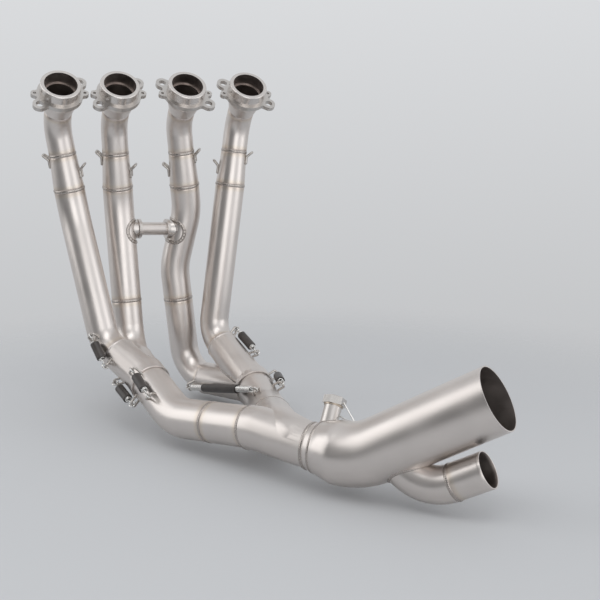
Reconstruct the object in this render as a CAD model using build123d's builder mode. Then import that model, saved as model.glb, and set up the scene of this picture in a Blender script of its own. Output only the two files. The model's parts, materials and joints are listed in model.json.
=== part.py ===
"""Four-into-two-into-one exhaust header for an inline four-cylinder motorcycle."""
from build123d import *
import os
from math import cos, radians, sin, sqrt

os.makedirs("parts", exist_ok=True)

# Driving dimensions, in millimetres and degrees.
# X runs to the right of the bike, Y forward, Z up. The origin is the mouth of the first inlet.
inlet_x = (0.0, 68.0, 149.0, 226.0)
inlet_tilt = 44.0
tube_wall = 1.2
slip_clearance = 0.25
socket_wall = 1.5

# Inlet collars and their loose flanges
collar_bore = 37.5
collar_rim_od = 46.0
collar_rim_height = 13.5
collar_rim_round = 1.2
collar_neck_od = 40.0
collar_neck_length = 13.0
collar_step_depth = 15.5
collar_step_bore = 34.0
collar_length = 41.5
flange_od = 52.0
flange_thickness = 5.0
flange_clearance = 0.3
stud_circle = 61.0
stud_angle = 35.0
stud_hole = 8.5
stud_ear_width = 16.0
spring_ear_reach = 28.5
spring_ear_width = 9.0
spring_ear_hole = 3.5
ear_web = 3.0

# Primary pipes: corners of each route, then the bend radius at each corner
upper_od = 32.0
lower_od = 37.0
first_run = 65.5
seam_run = 35.0
cone_length = 43.0
first_bend = 45.0
route_1 = ((17.0, 56.4, -151.5), (39.0, 6.4, -306.5))
route_2 = ((75.0, 66.4, -147.5), (80.0, 49.4, -332.5))
route_3 = ((163.0, 66.4, -157.5), (147.0, 76.4, -230.5), (161.0, 74.4, -379.5))
route_4 = ((189.0, 47.4, -317.5),)
bends_1 = (120.0, 37.0)
bends_2 = (120.0, 45.0)
bends_3 = (90.0, 90.0, 40.0)
bends_4 = (36.0,)
lower_seam_2 = 120.0
lower_seam_3 = 43.0

# Crossover between the inner pipes
crossover_od = 16.5
crossover_drop_2 = 29.5
crossover_drop_3 = 24.5
stub_base_od = 36.4
stub_end_od = 22.0
stub_reach_2 = 21.5
stub_reach_3 = 20.0
stub_ring_od = 25.0
stub_ring_width = 3.5
crossover_overlap = 3.0

# Collectors and secondary pipes
merge_left = (77.0, -56.6, -342.5)
merge_right = (213.5, -42.6, -368.5)
merge_final = (186.0, -296.6, -359.5)
secondary_od = 45.0
socket_reach_1 = 58.0
socket_reach_2 = 70.0
socket_reach_3 = 90.0
socket_reach_4 = 82.0
socket_depth = 12.0
branch_overruns = (2.0, 0.5)
outlet_rim_lead = 8.0
outlet_socket_depth = 14.0
outlet_socket_length = 20.0
left_corner = (92.0, -126.6, -369.5)
left_bend = 70.0
left_seam = 58.0
left_end = (146.0, -227.6, -356.5)
right_corner = (211.0, -97.6, -380.5)
right_bend = 60.0
right_run = 75.0
final_od = 47.0
final_turn = 12.0
final_trim = 6.0
final_lead = 38.0
final_rise = 6.0
final_bend = 55.0
join_bend = 45.0

# Outlet, bypass and sensor boss
outlet_od = 65.0
outlet_cone = 30.0
outlet_corner = (221.0, -339.6, -361.5)
outlet_end = (312.0, -436.6, -284.5)
outlet_bend = 75.0
bypass_od = 37.0
bypass_angle = 173.6
bypass_start = 29.0
bypass_sink = 22.0
bypass_turn = 52.0
bypass_turn_gap = 22.0
bypass_length = 116.0
bypass_end_gap = 23.6
bypass_bend = 46.0
bypass_seam = 28.0
boss_offset = 12.5
boss_lean = (0.422, 0.344, 0.838)
boss_od = 18.0
boss_bore = 12.0
boss_height = 17.0
washer_od = 20.0
washer_thickness = 1.5
plug_flats = 21.0
plug_head = 8.5
plug_chamfer = 1.0
plug_shank = 20.0
lock_wire_d = 1.6
lock_wire_run = 27.0

# Springs and the wire hooks that they hang on
hook_wire_d = 2.8
hook_width = 9.0
hook_lean = 7.0
hook_stand = 9.0
foot_depth = 16.0
spring_wire_d = 1.8
spring_coil_od = 8.2
spring_loop_od = 8.6
spring_loop_width = 2.4
spring_neck = 9.0
sleeve_share = 0.5
sleeve_od = 11.0
sleeve_clearance = 0.2
# Each spring: the joint at its two ends, the distance past that rim, and the angle round the pipe
spring_joints = (("one", "one"), ("left", "left"), ("left", "left"),
                 ("four", "four"), ("three", "right"), ("right", "right"))
spring_starts = (-26.0, -36.0, -4.0, -8.0, -6.0, -12.0)
spring_stops = (14.0, 12.0, 44.0, 46.0, 51.0, 32.0)
start_angles = (62.0, 122.0, 50.0, 304.0, 106.0, 292.0)
stop_angles = (98.0, 122.0, 56.0, 312.0, 30.0, 312.0)

# Wire hooks on the conical steps
cone_hook_foot = 9.0
cone_hook_reach = 9.0
cone_hook_near = 5.0
cone_hook_far = 21.0
cone_hook_turn = 22.0


def unit(start, end):
    """Direction from one point to another."""
    return (Vector(*end) - Vector(*start)).normalized()


def along(start, end, distance):
    """Point at a distance from start on the way to end."""
    return Vector(*start) + unit(start, end) * distance


def rod(points, bends, diameter):
    """Round bar bent along straight runs and arcs."""
    with BuildPart() as bar:
        with BuildLine() as route:
            if bends:
                FilletPolyline(*points, radius=bends)
            else:
                Line(*points)
        with BuildSketch(Plane(origin=route.line @ 0, z_dir=route.line % 0)):
            Circle(diameter / 2)
        sweep()
    return bar.part


def taper(start, end, start_d, end_d):
    """Straight round bar from one diameter to another."""
    with BuildPart(Plane(origin=start, z_dir=unit(start, end))) as bar:
        Cone(start_d / 2, end_d / 2, (Vector(*end) - Vector(*start)).length,
             align=(Align.CENTER, Align.CENTER, Align.MIN))
    return bar.part


def bent_wire(points, diameter):
    """Round wire bent sharply at each point."""
    with BuildPart() as wire:
        with BuildLine() as route:
            Polyline(*points)
        with BuildSketch(Plane(origin=route.line @ 0, z_dir=route.line % 0)):
            Circle(diameter / 2)
        sweep(transition=Transition.RIGHT)
    return wire.part


def around(way, angle):
    """Direction square to way, turned by angle from the upward side."""
    upward = Vector(0, 0, 1)
    upward = (upward - way * upward.dot(way)).normalized()
    return upward * cos(radians(angle)) + way.cross(upward) * sin(radians(angle))


def save(piece, name):
    """Labels a finished piece and writes it."""
    piece.part.label = name
    export_step(piece.part, f"parts/{name}.step")


# Inlets
inlet_axis = Vector(0, sin(radians(inlet_tilt)), -cos(radians(inlet_tilt)))
inlets = [Vector(x, 0, 0) for x in inlet_x]
first_corners = [inlet + inlet_axis * first_run for inlet in inlets]

for number, inlet in enumerate(inlets, start=1):
    profile_plane = Plane(origin=inlet, x_dir=(1, 0, 0), z_dir=Vector(1, 0, 0).cross(-inlet_axis))
    with BuildPart() as collar:
        with BuildSketch(profile_plane):
            with BuildLine():
                Polyline(
                    (collar_bore / 2, 0),
                    (collar_rim_od / 2, 0),
                    (collar_rim_od / 2, -collar_rim_height),
                    (collar_neck_od / 2, -collar_rim_height),
                    (collar_neck_od / 2, -collar_rim_height - collar_neck_length),
                    (upper_od / 2, -collar_length),
                    (upper_od / 2 - tube_wall, -collar_length),
                    (collar_step_bore / 2, -collar_step_depth),
                    (collar_bore / 2, -collar_step_depth),
                    close=True,
                )
            make_face()
        revolve(axis=Axis(inlet, inlet_axis))
        mouth = collar.edges().group_by(Axis(inlet, -inlet_axis))[-1]
        fillet(mouth.sort_by(SortBy.RADIUS)[-1], collar_rim_round)
    save(collar, f"inlet_collar_{number}")

    ear_angle = stud_angle if number <= 2 else -stud_angle
    stud = Vector(stud_circle / 2, 0).rotate(Axis.Z, ear_angle)
    flange_plane = Plane(origin=inlet + inlet_axis * collar_rim_height, x_dir=(1, 0, 0), z_dir=inlet_axis)
    with BuildPart() as flange:
        with BuildSketch(flange_plane):
            Circle(flange_od / 2)
            SlotCenterPoint((0, 0), (stud.X, -stud.Y), stud_ear_width)
            SlotCenterPoint((0, 0), (spring_ear_reach, 0), spring_ear_width)
            offset(amount=ear_web, mode=Mode.REPLACE)
            offset(amount=-ear_web, mode=Mode.REPLACE)
            Circle(collar_neck_od / 2 + flange_clearance, mode=Mode.SUBTRACT)
            with Locations((stud.X, -stud.Y), (-stud.X, stud.Y)):
                Circle(stud_hole / 2, mode=Mode.SUBTRACT)
            with Locations((spring_ear_reach, 0), (-spring_ear_reach, 0)):
                Circle(spring_ear_hole / 2, mode=Mode.SUBTRACT)
        extrude(amount=flange_thickness)
    save(flange, f"inlet_flange_{number}")

# Primary pipes: upper bend, conical step, then the large pipe down to its collector
routes = (route_1, route_2, route_3, route_4)
bends = (bends_1, bends_2, bends_3, bends_4)
merges = (merge_left, merge_left, merge_right, merge_right)
reaches = (socket_reach_1, socket_reach_2, socket_reach_3, socket_reach_4)
upper_bore = upper_od - 2 * tube_wall
lower_bore = lower_od - 2 * tube_wall
lower_starts = []

for number in (1, 2, 3, 4):
    corner = first_corners[number - 1]
    next_corner = routes[number - 1][0]
    upper_seam = along(corner, next_corner, seam_run)
    cone_end = along(corner, next_corner, seam_run + cone_length)
    lower_starts.append(cone_end)
    path = (inlets[number - 1] + inlet_axis * collar_length, corner, upper_seam)
    with BuildPart() as primary_upper:
        add(rod(path, [first_bend], upper_od))
        add(rod(path, [first_bend], upper_bore), mode=Mode.SUBTRACT)
    save(primary_upper, f"primary_upper_{number}")
    with BuildPart() as primary_cone:
        add(taper(upper_seam, cone_end, upper_od, lower_od))
        add(taper(upper_seam, cone_end, upper_bore, lower_bore), mode=Mode.SUBTRACT)
    save(primary_cone, f"primary_cone_{number}")

# Crossover: its axis runs between the two inner pipes, a little below their first lower corners
crossover_2 = along(route_2[0], route_2[1], crossover_drop_2)
crossover_3 = along(route_3[0], route_3[1], crossover_drop_3)
crossover_bore = crossover_od - 2 * tube_wall
drill = rod((crossover_2, crossover_3), None, crossover_bore)
seam_2 = along(route_2[0], route_2[1], lower_seam_2)
seam_3 = along(route_3[1], route_3[2], lower_seam_3)
mid_paths = {2: (lower_starts[1], route_2[0], seam_2), 3: (lower_starts[2], route_3[0], route_3[1], seam_3)}
mid_bends = {2: bends_2[:1], 3: bends_3[:2]}
lower_starts[1] = seam_2
lower_starts[2] = seam_3
for number in (2, 3):
    with BuildPart() as primary_mid:
        add(rod(mid_paths[number], mid_bends[number], lower_od))
        add(rod(mid_paths[number], mid_bends[number], lower_bore), mode=Mode.SUBTRACT)
        add(drill, mode=Mode.SUBTRACT)
    save(primary_mid, f"primary_mid_{number}")

stub_ends = {}
for number, root, other, reach in ((2, crossover_2, crossover_3, stub_reach_2),
                                   (3, crossover_3, crossover_2, stub_reach_3)):
    ring_start = along(root, other, reach)
    ring_end = along(root, other, reach + stub_ring_width)
    stub_ends[number] = along(root, other, reach + stub_ring_width - crossover_overlap)
    with BuildPart() as stub:
        add(taper(root, ring_start, stub_base_od, stub_end_od))
        add(rod((ring_start, ring_end), None, stub_ring_od))
        add(rod((root, ring_end), None, crossover_bore), mode=Mode.SUBTRACT)
        add(rod((stub_ends[number], ring_end), None, crossover_od + 2 * slip_clearance), mode=Mode.SUBTRACT)
        add(rod(mid_paths[number], mid_bends[number], lower_od), mode=Mode.SUBTRACT)
    save(stub, f"crossover_stub_{number}")
with BuildPart() as crossover_tube:
    add(rod((stub_ends[2], stub_ends[3]), None, crossover_od))
    add(rod((stub_ends[2], stub_ends[3]), None, crossover_bore), mode=Mode.SUBTRACT)
save(crossover_tube, "crossover_tube")

# Lower primary pipes end inside the sockets of their collector
lower_corners = (route_1, route_2[1:], route_3[2:], route_4)
lower_bends = (bends_1, bends_2[1:], bends_3[2:], bends_4)
rims = []
lower_hulls = []
for number in (1, 2, 3, 4):
    merge = merges[number - 1]
    last_corner = routes[number - 1][-1]
    rims.append(along(merge, last_corner, reaches[number - 1]))
    pipe_end = along(merge, last_corner, reaches[number - 1] - socket_depth)
    path = (lower_starts[number - 1], *lower_corners[number - 1], pipe_end)
    lower_hulls.append(rod(path, lower_bends[number - 1], lower_od))
    with BuildPart() as primary_lower:
        add(lower_hulls[-1])
        add(rod(path, lower_bends[number - 1], lower_bore), mode=Mode.SUBTRACT)
    save(primary_lower, f"primary_lower_{number}")

# Two-into-one collectors: two branches that run together, with a socket at each end
socket_bore = lower_od + 2 * slip_clearance
socket_od = socket_bore + 2 * socket_wall
outlet_bore = secondary_od + 2 * slip_clearance
outlet_socket_od = outlet_bore + 2 * socket_wall
branch_end_od = secondary_od
branch_end_bore = branch_end_od - 2 * socket_wall
secondary_bore = secondary_od - 2 * tube_wall

collector_hulls = {}
exit_rims = {}
for side, merge, exit_corner, pair in (("left", merge_left, left_corner, rims[:2]),
                                       ("right", merge_right, right_corner, rims[2:])):
    exit_way = unit(merge, exit_corner)
    rim = Vector(*merge) + exit_way * outlet_rim_lead
    seat = rim - exit_way * outlet_socket_depth
    back = rim - exit_way * outlet_socket_length
    tips = [along(entry, merge, (Vector(*merge) - entry).length + overrun)
            for entry, overrun in zip(pair, branch_overruns)]
    with BuildPart() as hull:
        for entry, tip in zip(pair, tips):
            add(taper(entry, tip, socket_od, branch_end_od))
        add(rod((back, rim), None, outlet_socket_od))
        split(bisect_by=Plane(origin=rim, z_dir=exit_way), keep=Keep.BOTTOM)
    with BuildPart() as cavity:
        for entry, tip in zip(pair, tips):
            add(taper(entry, tip, socket_bore, branch_end_bore))
        add(rod((seat, rim), None, outlet_bore))
    with BuildPart() as collector:
        add(hull.part)
        add(cavity.part, mode=Mode.SUBTRACT)
    save(collector, f"collector_{side}")
    collector_hulls[side] = hull.part
    exit_rims[side] = rim

# Secondary pipes
left_way = unit(merge_left, left_corner)
right_way = unit(merge_right, right_corner)
left_start = exit_rims["left"] - left_way * outlet_socket_depth
right_start = exit_rims["right"] - right_way * outlet_socket_depth
left_seam_point = along(left_corner, left_end, left_seam)
final_way = unit(merge_final, outlet_corner)
final_corner = Vector(*left_end) + unit(left_corner, left_end) * final_turn
final_join = along(merge_final, final_corner, final_lead) + Vector(0, 0, final_rise)
right_end = along(right_corner, final_join, right_run)

secondary_hulls = {}
for name, path, bend in (
        ("secondary_left_bend", (left_start, left_corner, left_seam_point), [left_bend]),
        ("secondary_left_straight", (left_seam_point, left_end), None),
        ("secondary_right", (right_start, right_corner, right_end), [right_bend])):
    secondary_hulls[name] = rod(path, bend, secondary_od)
    with BuildPart() as secondary:
        add(secondary_hulls[name])
        add(rod(path, bend, secondary_bore), mode=Mode.SUBTRACT)
    save(secondary, name)

# Final collector: the right branch is coped round the end of the left secondary pipe
final_bore = final_od - 2 * tube_wall
left_branch = (left_end, final_corner, Vector(*merge_final) + unit(final_corner, merge_final) * final_trim)
right_branch = (right_end, final_join, Vector(*merge_final) + unit(final_join, merge_final) * final_trim)
with BuildPart() as final_collector:
    add(rod(left_branch, [final_bend], final_od))
    add(rod(right_branch, [join_bend], secondary_od))
    add(rod(left_branch, [final_bend], final_bore), mode=Mode.SUBTRACT)
    add(rod(right_branch, [join_bend], secondary_bore), mode=Mode.SUBTRACT)
    add(rod((left_seam_point, left_end), None, secondary_od), mode=Mode.SUBTRACT)
    split(bisect_by=Plane(origin=merge_final, z_dir=final_way), keep=Keep.BOTTOM)
save(final_collector, "final_collector")

# Outlet pipe with its widening cone, and the bypass that leaves its underside
outlet_bore_d = outlet_od - 2 * tube_wall
cone_end = along(merge_final, outlet_corner, outlet_cone)
outlet_path = (cone_end, outlet_corner, outlet_end)
bypass_way = around(unit(outlet_corner, outlet_end), bypass_angle)
bypass_root = along(outlet_corner, outlet_end, bypass_start) + bypass_way * (outlet_od / 2 - bypass_sink)
bypass_corner = along(outlet_corner, outlet_end, bypass_turn) + bypass_way * (outlet_od / 2 + bypass_turn_gap)
bypass_end = along(outlet_corner, outlet_end, bypass_length) + bypass_way * (outlet_od / 2 + bypass_end_gap)
bypass_seam_point = along(bypass_corner, bypass_end, bypass_seam)
bypass_path = (bypass_root, bypass_corner, bypass_seam_point)
bypass_bore = bypass_od - 2 * tube_wall
boss_foot = along(merge_final, outlet_corner, boss_offset)
boss_way = Vector(*boss_lean).normalized()
cone_radius = (final_od + (outlet_od - final_od) * boss_offset / outlet_cone) / 2
boss_top = boss_foot + boss_way * (cone_radius + boss_height)
with BuildPart() as outlet_pipe:
    add(taper(merge_final, cone_end, final_od, outlet_od))
    add(rod(outlet_path, [outlet_bend], outlet_od))
    add(taper(merge_final, cone_end, final_bore, outlet_bore_d), mode=Mode.SUBTRACT)
    add(rod(outlet_path, [outlet_bend], outlet_bore_d), mode=Mode.SUBTRACT)
    add(rod(bypass_path, [bypass_bend], bypass_bore), mode=Mode.SUBTRACT)
    add(rod((boss_foot, boss_top), None, boss_bore), mode=Mode.SUBTRACT)
save(outlet_pipe, "outlet_pipe")

with BuildPart() as bypass_elbow:
    add(rod(bypass_path, [bypass_bend], bypass_od))
    add(rod(bypass_path, [bypass_bend], bypass_bore), mode=Mode.SUBTRACT)
    add(rod(outlet_path, [outlet_bend], outlet_od), mode=Mode.SUBTRACT)
save(bypass_elbow, "bypass_elbow")
with BuildPart() as bypass_pipe:
    add(rod((bypass_seam_point, bypass_end), None, bypass_od))
    add(rod((bypass_seam_point, bypass_end), None, bypass_bore), mode=Mode.SUBTRACT)
save(bypass_pipe, "bypass_pipe")

# Sensor boss on the outlet cone, closed by a wired screw plug
with BuildPart() as sensor_boss:
    add(rod((boss_foot, boss_top), None, boss_od))
    add(rod((boss_foot, boss_top), None, boss_bore), mode=Mode.SUBTRACT)
    add(taper(merge_final, cone_end, final_od, outlet_od), mode=Mode.SUBTRACT)
save(sensor_boss, "sensor_boss")

washer_top = boss_top + boss_way * washer_thickness
with BuildPart() as plug_washer:
    add(rod((boss_top, washer_top), None, washer_od))
    add(rod((boss_top, washer_top), None, boss_bore), mode=Mode.SUBTRACT)
save(plug_washer, "plug_washer")

head_plane = Plane(origin=washer_top, x_dir=final_way, z_dir=boss_way)
with BuildPart() as sensor_plug:
    with BuildSketch(head_plane):
        RegularPolygon(plug_flats / 2, 6, major_radius=False, rotation=30)
    extrude(amount=plug_head)
    chamfer(sensor_plug.faces().sort_by(Axis(washer_top, boss_way))[-1].edges(), plug_chamfer)
    with BuildSketch(head_plane):
        Circle(boss_bore / 2)
    extrude(amount=-plug_shank)
save(sensor_plug, "sensor_plug")

lock_point = along(merge_final, outlet_corner, boss_offset + lock_wire_run)
lock_height = outlet_od / 2 + lock_wire_d / 2
boss_side = boss_foot + final_way * (boss_od + lock_wire_d) / 2
with BuildPart() as plug_wire:
    add(bent_wire((
        washer_top + boss_way * plug_head / 2 + final_way * plug_flats / 2,
        lock_point + boss_way * lock_height,
        boss_foot + final_way * boss_od + boss_way * lock_height,
        boss_side + boss_way * (cone_radius + boss_height / 2),
    ), lock_wire_d))
    add(taper(merge_final, cone_end, final_od, outlet_od), mode=Mode.SUBTRACT)
    add(rod(outlet_path, [outlet_bend], outlet_od), mode=Mode.SUBTRACT)
    add(sensor_plug.part, mode=Mode.SUBTRACT)
    add(sensor_boss.part, mode=Mode.SUBTRACT)
save(plug_wire, "plug_wire")

# Wire hooks on the conical steps: a foot welded along the cone, then an arm leaning out and up
with BuildPart() as primary_hooks:
    for number in (1, 2, 3, 4):
        start = along(first_corners[number - 1], routes[number - 1][0], seam_run)
        down = unit(first_corners[number - 1], routes[number - 1][0])
        left_drop = cone_hook_near if number <= 2 else cone_hook_far
        for side, drop in ((-1, left_drop), (1, cone_hook_near + cone_hook_far - left_drop)):
            out = Vector(side, 0, 0).rotate(Axis.Z, -cone_hook_turn)
            out = (out - down * out.dot(down)).normalized()
            across = down.cross(out) * hook_width / 2
            radius = (upper_od + (lower_od - upper_od) * drop / cone_length) / 2 + hook_wire_d / 4
            bend_point = start + down * drop + out * radius
            tip = bend_point + (out - down) * cone_hook_reach / sqrt(2)
            foot = bend_point + down * cone_hook_foot
            add(bent_wire((foot - across, bend_point - across, tip - across,
                           tip + across, bend_point + across, foot + across), hook_wire_d))
        add(taper(start, start + down * cone_length, upper_od, lower_od), mode=Mode.SUBTRACT)
save(primary_hooks, "primary_hooks")

# Pull springs across the slip joints
entry_ways = [unit(routes[n][-1], merges[n]) for n in range(4)]
joints = {
    "one": (rims[0], entry_ways[0], lower_od, socket_od),
    "three": (rims[2], entry_ways[2], lower_od, socket_od),
    "four": (rims[3], entry_ways[3], lower_od, socket_od),
    "left": (exit_rims["left"], left_way, outlet_socket_od, secondary_od),
    "right": (exit_rims["right"], right_way, outlet_socket_od, secondary_od),
}


def spring_end(joint, distance, angle):
    """Point where the spring hangs, and the direction out of the pipe there."""
    rim, way, before_od, after_od = joints[joint]
    out = around(way, angle)
    height = (before_od if distance < 0 else after_od) / 2 + hook_stand
    return rim + way * distance + out * height, out


def loop(centre, across):
    """Flat end loop of a spring."""
    with BuildPart(Plane(origin=centre, z_dir=across)) as ring:
        Cylinder(spring_loop_od / 2, spring_loop_width)
        Cylinder(spring_loop_od / 2 - spring_wire_d, spring_loop_width, mode=Mode.SUBTRACT)
    return ring.part


loop_offset = spring_loop_od / 2 - spring_wire_d - hook_wire_d / 2 - slip_clearance
hook_hulls = (*lower_hulls, *collector_hulls.values(), *secondary_hulls.values())
hook_parts = []
spring_parts = []
sleeve_parts = []
for names, start, stop, start_angle, stop_angle in zip(
        spring_joints, spring_starts, spring_stops, start_angles, stop_angles):
    points = (spring_end(names[0], start, start_angle), spring_end(names[1], stop, stop_angle))
    for (point, out), (other, _) in (points, points[::-1]):
        pull = unit(point, other)
        across = pull.cross(out).normalized()
        half = across * hook_width / 2
        foot = point + pull * hook_lean - out * foot_depth
        with BuildPart() as hook:
            add(bent_wire((foot - half, point - half, point + half, foot + half), hook_wire_d))
            for hull in hook_hulls:
                add(hull, mode=Mode.SUBTRACT)
        hook_parts.append(hook.part.solids().sort_by_distance(point)[0])
        centre = point + pull * loop_offset
        spring_parts.append(loop(centre, across))
        spring_parts.append(rod((centre + pull * (spring_loop_od - spring_wire_d) / 2,
                                 point + pull * (spring_neck + spring_wire_d)), None, spring_wire_d))
    (first, _), (last, _) = points
    coil = (along(first, last, spring_neck), along(last, first, spring_neck))
    spring_parts.append(rod(coil, None, spring_coil_od))
    bare = (last - first).length * (1 - sleeve_share) / 2
    sleeve = (along(first, last, bare), along(last, first, bare))
    sleeve_parts.append((sleeve, rod(sleeve, None, sleeve_od)))

with BuildPart() as collector_hooks:
    for wire in hook_parts:
        add(wire)
save(collector_hooks, "collector_hooks")
with BuildPart() as collector_springs:
    for piece in spring_parts:
        add(piece)
save(collector_springs, "collector_springs")
with BuildPart() as spring_sleeves:
    for _, tube in sleeve_parts:
        add(tube)
    for path, _ in sleeve_parts:
        add(rod(path, None, spring_coil_od + 2 * sleeve_clearance), mode=Mode.SUBTRACT)
save(spring_sleeves, "spring_sleeves")
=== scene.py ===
import json
import math

import bpy
import numpy as np
from mathutils import Matrix, Vector


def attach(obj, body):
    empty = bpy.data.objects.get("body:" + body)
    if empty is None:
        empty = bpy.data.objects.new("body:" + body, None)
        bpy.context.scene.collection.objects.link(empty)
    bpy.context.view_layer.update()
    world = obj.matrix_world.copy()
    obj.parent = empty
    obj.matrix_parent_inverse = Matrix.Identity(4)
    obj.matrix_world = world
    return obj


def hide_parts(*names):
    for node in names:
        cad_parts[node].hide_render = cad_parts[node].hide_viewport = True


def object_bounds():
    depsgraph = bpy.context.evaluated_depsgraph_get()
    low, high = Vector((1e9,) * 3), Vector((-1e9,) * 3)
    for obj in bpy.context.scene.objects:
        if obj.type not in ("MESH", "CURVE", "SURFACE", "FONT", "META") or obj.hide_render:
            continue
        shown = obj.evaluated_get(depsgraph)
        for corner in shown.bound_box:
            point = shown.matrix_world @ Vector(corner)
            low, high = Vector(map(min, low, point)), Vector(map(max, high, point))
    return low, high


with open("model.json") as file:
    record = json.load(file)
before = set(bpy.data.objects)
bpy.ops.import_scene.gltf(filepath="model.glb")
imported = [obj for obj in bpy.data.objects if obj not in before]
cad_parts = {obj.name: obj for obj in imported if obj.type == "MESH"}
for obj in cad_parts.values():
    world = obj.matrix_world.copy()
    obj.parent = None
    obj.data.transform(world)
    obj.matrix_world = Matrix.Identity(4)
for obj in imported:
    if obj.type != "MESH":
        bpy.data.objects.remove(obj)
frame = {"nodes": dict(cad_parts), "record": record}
cadBox = [list(map(float, corner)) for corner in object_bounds()]
nodes = frame["nodes"]
scene = bpy.context.scene
scene.view_settings.view_transform = "Standard"
mm = 0.001
print("frame loaded:", len(nodes), "nodes")


# Shader groups shared by the finishes

def newGroup(name, inputs, outputs):
    group = bpy.data.node_groups.new(name, "ShaderNodeTree")
    for socketName, kind, value in inputs:
        socket = group.interface.new_socket(socketName, in_out="INPUT", socket_type=kind)
        socket.default_value = value
    for socketName, kind in outputs:
        group.interface.new_socket(socketName, in_out="OUTPUT", socket_type=kind)
    return group, group.nodes.new("NodeGroupInput"), group.nodes.new("NodeGroupOutput")


def addNode(tree, kind, **settings):
    node = tree.nodes.new(kind)
    for key, value in settings.items():
        setattr(node, key, value)
    return node


def link(tree, source, target):
    tree.links.new(source, target)


def ramp(tree, source, stops):
    node = addNode(tree, "ShaderNodeValToRGB")
    while len(node.color_ramp.elements) < len(stops):
        node.color_ramp.elements.new(0.5)
    for element, (place, colour) in zip(node.color_ramp.elements, stops):
        element.position = place
        element.color = (*colour, 1)
    link(tree, source, node.inputs[0])
    return node.outputs[0]


satinForm = dict(cloudDetail=4, cloudRange=(0.3, 0.7), patchShade=0.94, hairDetail=3,
                 hairStretch=(1.0, 1.0, 0.06), bumpDepth=0.0004)
heatAndShadeForm = dict(
    noise=120, wobble=0.5, steady=0.75,
    film=((0.0, (1, 1, 1)), (0.35, (0.93, 0.86, 0.72)),
          (0.65, (0.74, 0.62, 0.50)), (1.0, (0.52, 0.46, 0.45))))


def setRange(node, limits):
    node.inputs["From Min"].default_value, node.inputs["From Max"].default_value = limits


def buildSatinGroup():  # cloudy roughness and fine hairlines of a hand-finished metal
    group, entry, leave = newGroup(
        "satinFinish",
        [("Cloud Scale", "NodeSocketFloat", 28.0), ("Hair Scale", "NodeSocketFloat", 900.0),
         ("Low", "NodeSocketFloat", 0.24), ("High", "NodeSocketFloat", 0.36)],
        [("Cloud", "NodeSocketFloat"), ("Roughness", "NodeSocketFloat"), ("Height", "NodeSocketFloat")])
    coords = addNode(group, "ShaderNodeTexCoord")
    cloud = addNode(group, "ShaderNodeTexNoise")
    cloud.inputs["Detail"].default_value = satinForm["cloudDetail"]
    link(group, coords.outputs["Object"], cloud.inputs["Vector"])
    link(group, entry.outputs["Cloud Scale"], cloud.inputs["Scale"])
    squeeze = addNode(group, "ShaderNodeMapping")
    squeeze.inputs["Scale"].default_value = satinForm["hairStretch"]
    link(group, coords.outputs["Object"], squeeze.inputs["Vector"])
    hair = addNode(group, "ShaderNodeTexNoise")
    hair.inputs["Detail"].default_value = satinForm["hairDetail"]
    link(group, squeeze.outputs[0], hair.inputs["Vector"])
    link(group, entry.outputs["Hair Scale"], hair.inputs["Scale"])
    spread = addNode(group, "ShaderNodeMapRange")
    link(group, cloud.outputs["Fac"], spread.inputs["Value"])
    setRange(spread, satinForm["cloudRange"])
    link(group, entry.outputs["Low"], spread.inputs["To Min"])
    link(group, entry.outputs["High"], spread.inputs["To Max"])
    link(group, cloud.outputs["Fac"], leave.inputs["Cloud"])
    link(group, spread.outputs[0], leave.inputs["Roughness"])
    link(group, hair.outputs["Fac"], leave.inputs["Height"])
    return group


def buildHeatAndShadeGroup():  # straw and brown film that welding leaves, fading away from the bead; near the lower pipes' socket rims the same film is painted shade, a brown band for the shadow in the gap
    group, entry, leave = newGroup(
        "heatTint",
        [("Heat", "NodeSocketFloat", 0.0), ("Base", "NodeSocketColor", (0.6, 0.6, 0.6, 1)),
         ("Amount", "NodeSocketFloat", 0.5)],
        [("Colour", "NodeSocketColor")])
    coords = addNode(group, "ShaderNodeTexCoord")
    noise = addNode(group, "ShaderNodeTexNoise")
    noise.inputs["Scale"].default_value = heatAndShadeForm["noise"]
    link(group, coords.outputs["Object"], noise.inputs["Vector"])
    wobble = addNode(group, "ShaderNodeMath", operation="MULTIPLY_ADD")
    link(group, noise.outputs["Fac"], wobble.inputs[0])
    wobble.inputs[1].default_value = heatAndShadeForm["wobble"]
    wobble.inputs[2].default_value = heatAndShadeForm["steady"]
    ragged = addNode(group, "ShaderNodeMath", operation="MULTIPLY", use_clamp=True)
    link(group, entry.outputs["Heat"], ragged.inputs[0])
    link(group, wobble.outputs[0], ragged.inputs[1])
    film = ramp(group, ragged.outputs[0], heatAndShadeForm["film"])
    tint = addNode(group, "ShaderNodeMix", data_type="RGBA", blend_type="MULTIPLY")
    link(group, entry.outputs["Amount"], tint.inputs["Factor"])
    link(group, entry.outputs["Base"], tint.inputs["A"])
    link(group, film, tint.inputs["B"])
    link(group, tint.outputs["Result"], leave.inputs["Colour"])
    return group


satinGroup = buildSatinGroup()
heatAndShadeGroup = buildHeatAndShadeGroup()

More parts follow.
